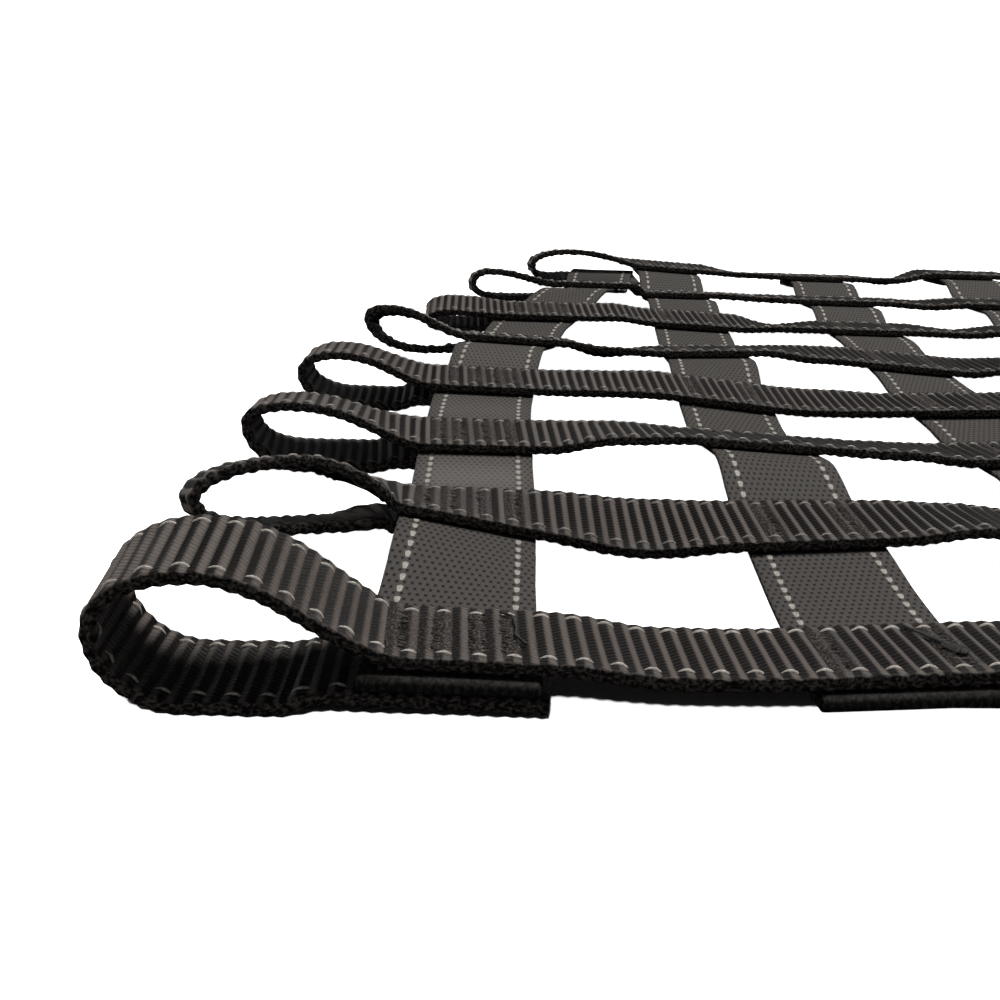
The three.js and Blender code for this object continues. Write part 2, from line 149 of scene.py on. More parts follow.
def clamp(value, low=0.0, high=1.0):
    return max(low, min(high, value))


def is_outer_row(row):
    return row in (0, LAST_ROW)


def stack_step(thickness, tilt):
    return thickness / math.cos(math.radians(tilt))


def seam_x(row, cross):
    shifts = ROWS[row]["shift"]
    shift = shifts[cross] if cross < len(shifts) else 0
    return PITCH * cross + SKEW * ROWS[row]["y"] + shift


def seam(row, cross):
    """x, height and tilt of a row strap's middle over a cross strap, and their changes along the row."""
    plain = (PLAIN_FOLDED_HEIGHT if is_outer_row(row) else PLAIN_HEIGHT, 0)
    height, tilt = ROWS[row].get(f"c{cross + 1}", plain)
    lift = ROW_THICKNESS + LAYER_GAP if cross == CROSS_COUNT - 1 else 0
    slant, twist = SEAM_TURNS.get((row, cross), (0, 0))
    return seam_x(row, cross), height + lift, tilt, math.tan(math.radians(slant)), twist


def seat_at(row, cross, x):
    """Height and tilt of a row strap's middle on its seat over a cross strap."""
    middle, z, tilt, rise, twist = seam(row, cross)
    return z + rise * (x - middle), tilt + twist * (x - middle)


def run_knots(row):
    """x, height and tilt of a row's upper run, and their changes: straight on seams, free between them."""
    knots = []
    for cross in range(CROSS_COUNT):
        x, z, tilt, rise, twist = seam(row, cross)
        room = [abs(seam_x(row, beside) - x) / 2 - LAYER_GAP for beside in (cross - 1, cross + 1)
                if 0 <= beside < CROSS_COUNT]
        left = x - (min(SEAT_ALONG_ROW, room[0]) if cross > 0 else SEAT_ALONG_ROW)
        right = x + (min(SEAT_ALONG_ROW, room[-1]) if cross < CROSS_COUNT - 1 else SEAT_ALONG_ROW)
        knots.append((left, *seat_at(row, cross, left), rise, twist))
        knots.append((right, *seat_at(row, cross, right), rise, twist))
        if cross < CROSS_COUNT - 1:
            next_x, next_z, next_tilt, _, _ = seam(row, cross + 1)
            between = ((z + next_z) / 2, (tilt + next_tilt) / 2)
            knots.append(((x + next_x) / 2, *ROWS[row].get(f"g{cross + 1}", between), 0, 0))
    return knots


def hermite(start, start_slope, end, end_slope, length, share):
    """A cubic with given end values and slopes."""
    square, cube = share ** 2, share ** 3
    return ((2 * cube - 3 * square + 1) * start + (cube - 2 * square + share) * length * start_slope
            + (3 * square - 2 * cube) * end + (cube - square) * length * end_slope)


def run_at(knots, x):
    after = next((k for k, knot in enumerate(knots) if knot[0] > x), len(knots) - 1)
    before, after = knots[max(after, 1) - 1], knots[max(after, 1)]
    length = after[0] - before[0]
    share = clamp((x - before[0]) / length)
    return (hermite(before[1], before[3], after[1], after[3], length, share),
            hermite(before[2], before[4], after[2], after[4], length, share))


def loop_path(row, loop, side, knots):
    """Stations (x, y, z, tilt, swing) of a rod loop, from its cut end to where its upper leg comes down."""
    cross = 0 if side < 0 else CROSS_COUNT - 1
    slack = LAST_ROW_SLACK if side < 0 and row == LAST_ROW else 0
    layers = 2 * CROSS_THICKNESS + LAYER_GAP if is_outer_row(row) else CROSS_THICKNESS
    edge = seam_x(row, cross) + side * CROSS_WIDTH / 2
    half = ROW_THICKNESS / 2
    floor_z = half + (ROW_WIDTH / 2 + LEG_ALLOWANCE) * math.sin(math.radians(abs(loop["leg"])))
    tip = loop["reach"] - half
    heel = loop["reach"] - loop["heel"]
    crown = loop["reach"] - loop["crown"]
    crown_z = loop["rise"] - half
    stations = []

    def add(outward, z, tilt):
        stations.append([edge + side * outward, z, tilt])

    def under(outward):
        """Height and tilt of the turned leg under the cross strap."""
        z, tilt = seat_at(row, cross, edge + side * outward)
        return z - slack - stack_step(ROW_THICKNESS + layers + 2 * LAYER_GAP, tilt), tilt

    for outward in np.linspace(-CROSS_WIDTH - loop["tail"], LEG_START, LEG_STATIONS):
        add(outward, *under(outward))
    leg_z, leg_tilt = under(LEG_START)
    rest_start = min(LEG_START + LEG_SETTLE, (LEG_START + heel) / 2)
    for share in np.linspace(0, 1, SETTLE_STATIONS)[1:]:
        soft = ease(share)
        add(mix(LEG_START, rest_start, share), mix(leg_z, floor_z, soft), mix(leg_tilt, loop["leg"], soft))
    for share in np.linspace(0, 1, BEND_STATIONS):
        angle = share * math.pi / 2
        add(heel + (tip - heel) * math.sin(angle), mix(loop["belly"], floor_z, math.cos(angle)),
            mix(loop["leg"], loop["lean"], ease(share)))
    for share in np.linspace(0, 1, BEND_STATIONS)[1:]:
        angle = share * math.pi / 2
        add(crown + (tip - crown) * math.cos(angle), mix(loop["belly"], crown_z, math.sin(angle)),
            loop["lean"])
    land_z, land_tilt = run_at(knots, edge - side * loop["closes"])
    for share in np.linspace(0, 1, FALL_STATIONS)[1:]:
        untilt = clamp((share - LEAN_HOLD) / (1 - LEAN_HOLD))
        outward = mix(crown, -loop["closes"], share)
        least_z = land_z
        if loop["closes"] < CROSS_WIDTH:
            least_z, _ = seat_at(row, cross, edge + side * outward)
        add(outward, max(least_z, mix(crown_z, land_z, ease(share ** FALL_BOW))),
            mix(loop["lean"], land_tilt, ease(untilt)))

    path = []
    for x, z, tilt in stations:
        outside = max(0, (x - edge) * side)
        free = ease(min(1, 2 * outside / loop["reach"]))
        back = (z - loop["rise"] / 2) * math.tan(math.radians(tilt)) * free
        swing = loop["swing"] * ease(min(1, outside / SWING_START))
        path.append((x, ROWS[row]["y"] + back - outside * math.tan(math.radians(swing)), z, tilt, swing))
    return path


def row_path(row):
    knots = run_knots(row)
    right_loop = dict(RIGHT_LOOP, rise=RIGHT_LOOP["rise"] + RIGHT_RISE_CHANGES[row])
    left = loop_path(row, LEFT_LOOPS[row], -1, knots)
    right = loop_path(row, right_loop, 1, knots)[::-1]
    count = int((right[0][0] - left[-1][0]) / RUN_STEP)
    run = [(x, ROWS[row]["y"], *run_at(knots, x), 0)
           for x in np.linspace(left[-1][0], right[0][0], count)[1:-1]]
    return np.array(left + run + right)


def cross_seat(row, cross, away):
    """Height, slope and roll of a cross strap's middle this far behind a row's middle."""
    middle, z, tilt, rise, twist = seam(row, cross)
    slack = LAST_ROW_SLACK if cross == 0 and row == LAST_ROW else 0
    drop = stack_step((ROW_THICKNESS + CROSS_THICKNESS) / 2 + LAYER_GAP, tilt)
    slope = -math.tan(math.radians(tilt))
    roll = rise - math.radians(twist) * away
    sideways = cross_x(cross, ROWS[row]["y"] + away) - middle
    return z - slack - drop + slope * away + roll * sideways, slope, roll


def cross_x(cross, y):
    depths = [row["y"] for row in ROWS]
    after = int(clamp(np.searchsorted(depths, y, side="right"), 1, LAST_ROW))

    def slope_at(row):
        low, high = max(row - 1, 0), min(row + 1, LAST_ROW)
        return (seam_x(high, cross) - seam_x(low, cross)) / (depths[high] - depths[low])

    length = depths[after] - depths[after - 1]
    share = (y - depths[after - 1]) / length
    if share < 0:
        return seam_x(0, cross) + slope_at(0) * (y - depths[0])
    if share > 1:
        return seam_x(LAST_ROW, cross) + slope_at(LAST_ROW) * (y - depths[LAST_ROW])
    return hermite(seam_x(after - 1, cross), slope_at(after - 1), seam_x(after, cross), slope_at(after),
                   length, share)


def fold_path(row, cross, side):
    """Stations (x, y, z, veer, slope, roll) of a cross strap's end folded under itself."""
    seat_y = ROWS[row]["y"]
    seat_z, slope, roll = cross_seat(row, cross, 0)
    drop = CROSS_THICKNESS + LAYER_GAP
    angle = math.atan(slope)
    short = CORNER_SHORT if cross == 0 and side > 0 else 0
    edge = side * (ROW_WIDTH / 2 + FOLD_OVERHANG - drop / 2 - short)
    places = [(edge - side * (FOLD_REACH + ROW_WIDTH / 2), drop), (edge, drop)]
    for turn in np.linspace(0, math.pi, FOLD_STATIONS)[1:]:
        places.append((edge + side * drop / 2 * math.sin(turn), drop / 2 * (1 + math.cos(turn))))
    return [(seam_x(row, cross), seat_y + along * math.cos(angle) + under * math.sin(angle),
             seat_z + along * math.sin(angle) - under * math.cos(angle), 0, slope, roll)
            for along, under in places]


def cross_path(cross):
    nearby = 0.5
    stations = fold_path(0, cross, -1)
    for row in range(LAST_ROW):
        start_z, slope, roll = cross_seat(row, cross, SEAT_ALONG_CROSS)
        end_z, next_slope, next_roll = cross_seat(row + 1, cross, -SEAT_ALONG_CROSS)
        start, end = ROWS[row]["y"] + SEAT_ALONG_CROSS, ROWS[row + 1]["y"] - SEAT_ALONG_CROSS
        for share in np.linspace(0, 1, SPAN_STATIONS):
            here = mix(start, end, share)
            veer = (cross_x(cross, here + nearby) - cross_x(cross, here - nearby)) / (2 * nearby)
            height = hermite(start_z, slope, end_z, next_slope, end - start, share)
            stations.append((cross_x(cross, here), here, height, veer, mix(slope, next_slope, ease(share)),
                             mix(roll, next_roll, ease(share))))
    return np.array(stations + fold_path(LAST_ROW, cross, 1)[::-1])


def unit(vectors):
    return vectors / np.linalg.norm(vectors, axis=-1, keepdims=True)


class Line:
    """A strap's middle line by length along it, with its directions: along, across (far side) and out."""

    def __init__(self, places, across, reach):
        step = 0.25
        lengths = np.concatenate([[0], np.cumsum(np.linalg.norm(np.diff(places, axis=0), axis=1))])
        self.length = lengths[-1]
        self.s = np.linspace(0, self.length, int(self.length / step) + 1)
        self.place = np.stack([np.interp(self.s, lengths, places[:, k]) for k in range(3)], 1)
        wide = np.stack([np.interp(self.s, lengths, across[:, k]) for k in range(3)], 1)
        count = max(1, int(reach / step))
        kernel = np.hanning(2 * count + 3)[1:-1]
        ends = np.pad(self.place, ((count, count), (0, 0)), mode="reflect", reflect_type="odd")
        self.place = np.stack([np.convolve(ends[:, k], kernel / kernel.sum(), "valid") for k in range(3)], 1)
        self.along = unit(np.gradient(self.place, axis=0))
        wide = wide - (wide * self.along).sum(1, keepdims=True) * self.along
        self.across = unit(wide)
        self.out = np.cross(self.along, self.across)

    def at(self, s):
        """Place and directions at lengths s, which may have any shape."""
        s = np.clip(s, 0, self.length)

        def read(values):
            return np.stack([np.interp(s, self.s, values[:, k]) for k in range(3)], -1)

        return read(self.place), unit(read(self.along)), unit(read(self.across)), unit(read(self.out))

    def point(self, s, w, h):
        """Places at length s, w to the far side and h outwards."""
        place, _, across, out = self.at(s)
        return place + across * np.asarray(w)[..., None] + out * np.asarray(h)[..., None]

    def length_where(self, axis, value):
        """The length at which the upper run passes a value along an axis."""
        facing_up = 0.5
        upper = (self.out[:, 2] > facing_up) & (self.along[:, axis] > 0)
        return float(np.interp(value, self.place[upper, axis], self.s[upper]))


def row_line(row):
    path = row_path(row)
    tilt, swing = np.radians(path[:, 3]), np.radians(path[:, 4])
    across = np.stack([-np.cos(tilt) * np.sin(swing), np.cos(tilt) * np.cos(swing), -np.sin(tilt)], 1)
    return Line(path[:, :3], across, ROW_SMOOTHING)


def cross_line(cross):
    path = cross_path(cross)
    across = np.stack([-np.ones(len(path)), path[:, 3], path[:, 3] * path[:, 4] - path[:, 5]], 1)
    return Line(path[:, :3], across, CROSS_SMOOTHING)


def new_object(name, vertices, faces, material, maps=None):
    """A smooth mesh object. vertices are in the net's millimetres; maps has (corner, 2) values by name."""
    mesh = bpy.data.meshes.new(name)
    places = (vertices + NET_TO_FRAME) * MM
    places[:, 2] = np.maximum(places[:, 2], 0)
    mesh.from_pydata(places.tolist(), [], faces)
    mesh.polygons.foreach_set("use_smooth", np.ones(len(mesh.polygons), bool))
    for map_name, values in (maps or {}).items():
        layer = mesh.uv_layers.new(name=map_name)
        layer.data.foreach_set("uv", np.asarray(values, np.float32).ravel())
    mesh.materials.append(material)
    mesh.update()
    made = bpy.data.objects.new(name, mesh)
    bpy.context.scene.collection.objects.link(made)
    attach(made, "root")
    return made


# Sections of a strap as shares of half its width and half its thickness, from the near edge over the top.
SECTION = np.array([
    (-1.0, 0.0), (-1.0, 0.65), (-0.985, 0.9), (-0.94, 1.0), (-0.6, 1.0), (-0.3, 1.0), (0.0, 1.0),
    (0.3, 1.0), (0.6, 1.0), (0.94, 1.0), (0.985, 0.9), (1.0, 0.65),
])
RING = np.concatenate([SECTION, -SECTION])
RING_COUNT = len(RING)
# The grooves between ribs grow shallow towards the edges, where the weft turns back.
RING_DIP = np.interp(np.abs(RING[:, 0]), (0.65, 0.92), (1.0, 0.4))
# A mark on a strap, such as its sewing, grows faint towards the edges.
RING_MARK = np.interp(np.abs(RING[:, 0]), (0.7, 0.9), (1.0, 0.3))
# A cupped strap stays level where its squared share of half the width has this value.
CUP_LEVEL = 0.4
# A strap's map for baking has its length in bands one above another, with spare room round them.
BANDS = 3
BAND_SPACING = 1.03
MAP_SPARE = 1.06
MAP_MARGIN = 0.02
CAP_CORNER = 0.005


def round_steps(half_width, half_thickness):
    """Lengths of the sides of a strap's section."""
    return np.linalg.norm(np.diff(np.vstack([RING, RING[:1]]) * (half_width, half_thickness), axis=0), axis=1)


def half_round(half_width, half_thickness):
    return float(round_steps(half_width, half_thickness).sum() / 2)


def strap_object(name, line, full, s, half_width, half_thickness, dip, shift, cup, mark, map_scale, material):
    """A closed strap. full is half its width and thickness, s are its stations; the other arrays give each
    station's size, the share of thickness that a groove takes away there, its unevenness and its mark."""
    stations = len(s)
    place, along, across, out = (values[:, None, :] for values in line.at(s))
    w = RING[None, :, 0] * half_width[:, None]
    thick = half_thickness[:, None] * (1 - dip[:, None] * RING_DIP[None, :])
    h = RING[None, :, 1] * thick + cup[:, None] * (RING[None, :, 0] ** 2 - CUP_LEVEL)
    slide = shift[:, None] * RING[None, :, 0]
    vertices = place + across * w[..., None] + out * h[..., None] + along * slide[..., None]
    round_ring = np.concatenate([[0], np.cumsum(round_steps(*full))])

    ring = np.arange(RING_COUNT)
    ahead = (ring + 1) % RING_COUNT
    base = np.arange(stations - 1)[:, None] * RING_COUNT
    quads = np.stack([base + ring, base + RING_COUNT + ring, base + RING_COUNT + ahead, base + ahead], -1)
    faces = quads.reshape(-1, 4).tolist()
    faces.append(ring.tolist())
    faces.append((ring[::-1] + (stations - 1) * RING_COUNT).tolist())

    shape = (stations - 1, RING_COUNT)
    low, high = np.broadcast_to(s[:-1, None], shape), np.broadcast_to(s[1:, None], shape)
    near, far = np.broadcast_to(round_ring[:-1], shape), np.broadcast_to(round_ring[1:], shape)
    weave = np.stack([np.stack([low, high, high, low], -1), np.stack([near, near, far, far], -1)], -1)
    woven = weave * (map_scale, 1)
    band_length = line.length / BANDS
    band = np.minimum((s[:-1] / band_length).astype(int), BANDS - 1)[:, None, None]
    side = max(band_length, BANDS * round_ring[-1]) * MAP_SPARE
    packed_s = weave[..., 0] - band * band_length + MAP_MARGIN * side
    packed_w = weave[..., 1] + band * round_ring[-1] * BAND_SPACING + MAP_MARGIN * side
    packed = np.stack([packed_s, packed_w], -1) / side
    caps = np.zeros((2 * RING_COUNT, 2))
    end_weave = caps + np.array([s[0], 0])
    maps = {"weave": np.vstack([woven.reshape(-1, 2), end_weave]),
            "OFBake": np.vstack([packed.reshape(-1, 2), caps + CAP_CORNER])}
    made = new_object(name, vertices.reshape(-1, 3), faces, material, maps)
    marks = made.data.attributes.new("mark", "FLOAT", "POINT")
    marks.data.foreach_set("value", (mark[:, None] * RING_MARK[None, :]).astype(np.float32).ravel())
    return made


def tubes_object(name, paths, outs, radius, sides, material):
    """Joined threads. paths and outs are lists of (points, 3) arrays."""
    vertices, faces, start = [], [], 0
    angles = np.arange(sides) * 2 * math.pi / sides
    for path, out in zip(paths, outs):
        count = len(path)
        along = unit(np.gradient(path, axis=0))
        beside = unit(np.cross(along, out))
        up = np.cross(beside, along)
        ring = np.cos(angles)[None, :, None] * beside[:, None] + np.sin(angles)[None, :, None] * up[:, None]
        vertices.append((path[:, None] + radius * ring).reshape(-1, 3))
        k = np.arange(sides)
        ahead = (k + 1) % sides
        base = start + np.arange(count - 1)[:, None] * sides
        quads = np.stack([base + k, base + ahead, base + sides + ahead, base + sides + k], -1)
        faces += quads.reshape(-1, 4).tolist()
        faces.append((start + k[::-1]).tolist())
        faces.append((start + (count - 1) * sides + k).tolist())
        start += count * sides
    return new_object(name, np.vstack(vertices), faces, material)


def grid_faces(count, rows, columns):
    """Quads of count separate grids of rows by columns vertices."""
    base = (np.arange(count) * rows * columns)[:, None, None]
    corner = base + np.arange(rows - 1)[None, :, None] * columns + np.arange(columns - 1)[None, None, :]
    quads = np.stack([corner, corner + columns, corner + columns + 1, corner + 1], -1)
    return quads.reshape(-1, 4).tolist()


# Rib shape: each rib is a bead across the strap, part round and part ridged.
RIB_PITCH = 2.4
RIB_SHARES = np.array([0.0, 0.07, 0.4, 0.5, 0.6, 0.93])
GROOVE_DEPTH = 0.48
RIB_ROUND = 0.22
EDGE_NOTCH = 0.13
RIB_HEIGHT_SPREAD = 0.05
RIB_WIDTH_SPREAD = 0.09
EDGE_TACKS = (-8, -2.8, 2.6, 8)
TACKS = (-8, 8)
TACK_SPREAD = 0.8
TACK_FLATTENS = 0.45
TACK_LOWERS = 0.1
TACK_REACH = 2.2
# The cut end of row strap 1 runs back by this much at its near edge, over this length.
CUT_SLANT = 1.3
CUT_SLANT_LENGTH = 6
# Along the row, how far the first seam of row 1 is sewn off the middle.
FIRST_SEAM_SHIFT = 1.4


def rib_bulge(share):
    ridge = 1 - np.abs(2 * share - 1)
    return RIB_ROUND * np.sin(math.pi * share) + (1 - RIB_ROUND) * ridge


class Ribs:
    """The ribs of one row strap: their heights and widths, pressed down where the strap is sewn."""

    def __init__(self, line, tacks):
        self.count = int(line.length / RIB_PITCH)
        self.pitch = line.length / self.count
        self.tall = 1 + RIB_HEIGHT_SPREAD * chance.uniform(-1, 1, self.count + 1)
        self.wide = RIB_WIDTH_SPREAD * chance.uniform(-1, 1, self.count + 1)
        middles = (np.arange(self.count + 1) + 0.5) * self.pitch
        pressed = np.zeros(self.count + 1)
        for tack in tacks:
            pressed = np.maximum(pressed, np.exp(-((middles - tack) / TACK_REACH) ** 2))
        self.pressed = pressed

    def index(self, s):
        return np.clip((s / self.pitch).astype(int), 0, self.count)

    def crest(self, s):
        rib = self.index(s)
        return ROW_THICKNESS / 2 * self.tall[rib] * (1 - TACK_LOWERS * self.pressed[rib])

    def dip(self, s):
        rib = self.index(s)
        depth = GROOVE_DEPTH * (1 - TACK_FLATTENS * self.pressed[rib])
        return depth * (1 - rib_bulge(s / self.pitch - rib))

    def half_width(self, s):
        rib = self.index(s)
        bulge = rib_bulge(s / self.pitch - rib)
        return ROW_WIDTH / 2 + self.wide[rib] - EDGE_NOTCH * (1 - bulge)


TRACER_FROM_EDGE = 2.8
TRACER_RADIUS = 0.26
# A tracer's ends lie this much lower than its middle.
TRACER_DROP = 0.4
TRACER_SINK = 0.03
TRACER_WANDER = 0.12
TRACER_ALONG = np.array([-0.12, 0.08, 0.29, 0.5, 0.71, 0.92, 1.12])
TRACER_TAPER = np.array([0.4, 0.8, 1.0, 1.0, 1.0, 0.8, 0.4])
TRACER_ACROSS = np.array([-1.0, -0.5, 0.5, 1.0])
TRACER_UP = np.array([-0.3, 0.9, 0.9, -0.3])


def row_tracers(name, line, ribs, material):
    """Light threads over every second rib near both edges, and over the ribs between on the other face."""
    grids = []
    for face in (1, -1):
        first = 0 if face > 0 else 1
        rib = np.arange(first + 1, ribs.count - 1, 2)
        for edge in (-1, 1):
            s = (rib[:, None] + TRACER_ALONG[None, :]) * ribs.pitch
            drop = TRACER_DROP * (2 * TRACER_ALONG - 1) ** 2
            height = ribs.crest((rib + 0.5) * ribs.pitch)[:, None] - drop[None, :]
            wander = TRACER_WANDER * chance.uniform(-1, 1, len(rib))
            middle = edge * (ROW_WIDTH / 2 - TRACER_FROM_EDGE) + wander
            radius = TRACER_RADIUS * TRACER_TAPER[None, :, None]
            w = middle[:, None, None] + face * radius * TRACER_ACROSS[None, None, :]
            h = height[:, :, None] + radius * TRACER_UP[None, None, :] - TRACER_SINK
            grids.append(line.point(np.broadcast_to(s[:, :, None], w.shape), w, face * h))
    vertices = np.concatenate(grids)
    count, rows, columns, _ = vertices.shape
    return new_object(name, vertices.reshape(-1, 3), grid_faces(count, rows, columns), material)


CROSS_STEP = 1.3
# Places y around which cross strap 1 is paler with painted sheen, or darker with painted shade, each with its
# strength.
SHEEN_AND_SHADE_STRETCHES = ((99, 1.3), (162, 0.6), (226, 0.4), (415, -0.6))
SHEEN_AND_SHADE_REACH = 17
CROSS_TRACER_PITCH = 4.6
CROSS_TRACER_FROM_EDGE = 3.2
# No tracer shows round an end fold.
CROSS_TRACER_START = 32
# A float's places along it, and its half width and height there.
CROSS_TRACER_ALONG = np.array([-0.5, -0.2, 0.2, 0.5]) * 3.4
CROSS_TRACER_SPREAD = np.array([0.35, 0.8, 1.0, 0.6]) * 0.52
CROSS_TRACER_RISE = np.array([-0.05, 0.12, 0.14, -0.05])
CROSS_TRACER_ACROSS = np.array([-1.0, 0.0, 1.0])
CROSS_TRACER_ROUND = 0.06


def cross_tracers(name, line, material):
    """Light floats of the tracer yarns on both faces of a cross strap, broad at the far end."""
    across = CROSS_TRACER_ACROSS[None, None, :]
    spread = CROSS_TRACER_SPREAD[None, :, None] * across
    dome = CROSS_TRACER_RISE[None, :, None] - CROSS_TRACER_ROUND * np.abs(across)
    middles = np.arange(CROSS_TRACER_START, line.length - CROSS_TRACER_START, CROSS_TRACER_PITCH)
    s = middles[:, None, None] + CROSS_TRACER_ALONG[None, :, None] + 0 * across
    grids = []
    for face in (1, -1):
        for edge in (-1, 1):
            w = edge * (CROSS_WIDTH / 2 - CROSS_TRACER_FROM_EDGE) + face * spread + 0 * s
            grids.append(line.point(s, w, face * (CROSS_THICKNESS / 2 + dome + 0 * s)))
    vertices = np.concatenate(grids)
    count, rows, columns, _ = vertices.shape
    return new_object(name, vertices.reshape(-1, 3), grid_faces(count, rows, columns), material)


THREAD_RADIUS = 0.08
THREAD_SIDES = 5
TACK_HALF_WIDTH = 1.3
TACK_HALF_LENGTH = 9.6
TACK_STITCHES = 36
TACK_WANDER = 0.15
TACK_WIDTHS = (0.7, 1.15)
TACK_SINK = 0.36
TACK_SINK_SPREAD = 0.16


def tack_path(line, middle, half_thickness):
    """A bartack across a strap: a dense zigzag, a little uneven, drawn down into the ribs."""
    turns = 2 * TACK_STITCHES + 1
    w = np.linspace(-TACK_HALF_LENGTH, TACK_HALF_LENGTH, turns) + TACK_WANDER * chance.uniform(-1, 1, turns)
    sides = np.where(np.arange(turns) % 2, 1, -1)
    s = middle + TACK_HALF_WIDTH * sides * chance.uniform(*TACK_WIDTHS, turns)
    height = half_thickness - TACK_SINK + TACK_SINK_SPREAD * chance.uniform(-1, 1, turns)
    path = line.point(s, w, height)
    return path, line.at(s)[3]


# Loose thread ends on row strap 1, each by its places x along the net and w across the strap.
LOOSE_RADIUS = 0.22
LOOSE_SIDES = 6
LOOSE_STEPS = 6
LOOSE_ENDS = [
    [(9.8, 9.7), (11.6, 7.5), (11.9, 1.5), (11.6, -1.5), (13.0, -5.5)],
    [(70.4, 9.6), (71.4, 6.4), (72.6, 3.0), (73.8, 0.0), (74.8, -3.0)],
    [(71.4, 7.0), (72.8, 3.4), (74.4, -0.6), (75.0, -3.0), (74.0, -4.8)],
    [(73.2, 1.0), (74.6, -1.0), (75.6, -3.4), (74.6, -5.0), (73.6, -3.2)],
    [(73.4, 0.0), (74.2, -3.0), (75.4, -4.6), (76.0, -3.0), (75.0, -1.0)],
    [(73.0, -0.8), (74.0, -4.2), (75.0, -5.4), (75.8, -4.2), (74.2, -1.8)],
]


def loose_path(line, ends, lift):
    """A loose thread end that lies on a strap, through its places."""
    places = np.array(ends)
    marks = np.linspace(0, 1, len(places))
    fine = np.linspace(0, 1, LOOSE_STEPS * len(places))
    x = np.interp(fine, marks, places[:, 0])
    w = np.interp(fine, marks, places[:, 1])
    s = np.array([line.length_where(0, value) for value in x])
    height = ROW_THICKNESS / 2 + lift + 0 * s
    return line.point(s, w, height), line.at(s)[3]


# Materials
def shader(name):
    made = bpy.data.materials.new(name)
    made.use_nodes = True
    tree = made.node_tree
    return made, tree, tree.nodes["Principled BSDF"]


def add_node(tree, kind, inputs=None, **settings):
    made = tree.nodes.new(kind)
    for key, value in settings.items():
        setattr(made, key, value)
    for key, value in (inputs or {}).items():
        socket = made.inputs[key]
        if isinstance(value, bpy.types.NodeSocket):
            tree.links.new(value, socket)
        else:
            socket.default_value = value
    return made


def maths(tree, operation, first, second=0.0, third=0.0):
    made = add_node(tree, "ShaderNodeMath", operation=operation)
    for socket, value in zip(made.inputs, (first, second, third)):
        if isinstance(value, bpy.types.NodeSocket):
            tree.links.new(value, socket)
        else:
            socket.default_value = value
    return made.outputs[0]


def weave_axes(tree):
    """Millimetres along the strap and round its section."""
    place = add_node(tree, "ShaderNodeUVMap", uv_map="weave")
    split = add_node(tree, "ShaderNodeSeparateXYZ", {"Vector": place.outputs["UV"]})
    return place.outputs["UV"], split.outputs["X"], split.outputs["Y"]


def scaled_noise(tree, place, grain, detail=2.0):
    """Noise from 0 to 1 with this many grains a millimetre along the strap and round it."""
    stretched = add_node(tree, "ShaderNodeVectorMath", {0: place, 1: grain}, operation="MULTIPLY")
    settings = {"Vector": stretched.outputs[0], "Scale": 1.0, "Detail": detail}
    return add_node(tree, "ShaderNodeTexNoise", settings).outputs["Fac"]


def ramp(tree, value, tones, dark, light):
    """A colour that goes from dark to light as the value goes through the tones."""
    made = add_node(tree, "ShaderNodeValToRGB", {"Fac": value})
    for element, tone, colour in zip(made.color_ramp.elements, tones, (dark, light)):
        element.position = tone
        element.color = (*colour, 1)
    return made.outputs["Color"]


def blend(tree, share, low, high):
    return add_node(tree, "ShaderNodeMix", {"Factor": share, "A": low, "B": high}).outputs["Result"]


def step_up(tree, value, low, high):
    """A soft step from 0 to 1 as the value goes from low to high."""
    made = add_node(tree, "ShaderNodeMapRange", {"Value": value, "From Min": low, "From Max": high},
                    interpolation_type="SMOOTHSTEP")
    return made.outputs["Result"]


def shaded(tree, tone, value, shade):
    """A tone times a value's gain and base."""
    return maths(tree, "MULTIPLY", tone, maths(tree, "MULTIPLY_ADD", value, *shade))


def connect(tree, principled, colour, roughness, height, bump_strength, bump_depth):
    """Link a webbing's colour, roughness and bump to its shader. bump_depth is in metres."""
    bump = add_node(tree, "ShaderNodeBump",
                    {"Height": height, "Strength": bump_strength, "Distance": bump_depth})
    tree.links.new(colour, principled.inputs["Base Color"])
    tree.links.new(roughness, principled.inputs["Roughness"])
    tree.links.new(bump.outputs["Normal"], principled.inputs["Normal"])


# In both webbings a grain is a noise's scale, a band is the two values between which a soft step rises, and a
# shade, a roughness or a wander with two values is a gain and a base.
ROW_DARK = (0.004, 0.003, 0.0026)
ROW_LIGHT = (0.122, 0.106, 0.097)
ROW_TONES = (0.1, 0.9)
ROW_SPECULAR = 0.14
ROW_BUMP_STRENGTH = 1.0
ROW_BUMP_DEPTH = 0.0002
# Half the way round a row strap's section, from one edge to the other, and the knotted edge's width.
ROW_HALF_ROUND = half_round(ROW_WIDTH / 2, ROW_THICKNESS / 2)
EDGE_BAND = (0.5, 1.5)
EDGE_ROUGHNESS = 0.6
KNOT_GRAIN = (1.3, 1.5, 1.0)
KNOT_BAND = (0.42, 0.66)
KNOTS_AND_EDGE_SHADE = (0.9, 0.1)
KNOT_HEIGHT = 1.5
# Over each rib's share: painted shade in the groove beside it, and a painted step from its shaded side to its
# lit side.
GROOVE_BAND = (0.0, 0.16)
PAINTED_GROOVE_SHADE = (0.55, 0.45)
PAINTED_LIT_SIDE_BAND = (0.34, 0.7)
PAINTED_LIT_SIDE_SHADE = (1.1, 0.06)
# Slanting yarns round each rib, and fibres in them.
YARN_PITCH = 1.4
YARN_SLANT = 0.5
YARN_WANDER = 0.5
YARN_WANDER_GRAIN = (0.35, 0.5, 1.0)
YARN_ROUND = 0.6
YARN_SHADE = (0.5, 0.5)
YARN_HEIGHT = 0.6
FIBRE_GRAIN = (0.8, 3.4, 1.0)
FIBRE_SHADE = (1.3, 0.15)
FIBRE_ROUGHNESS = (0.25, 0.4)
FIBRE_HEIGHT = 0.5
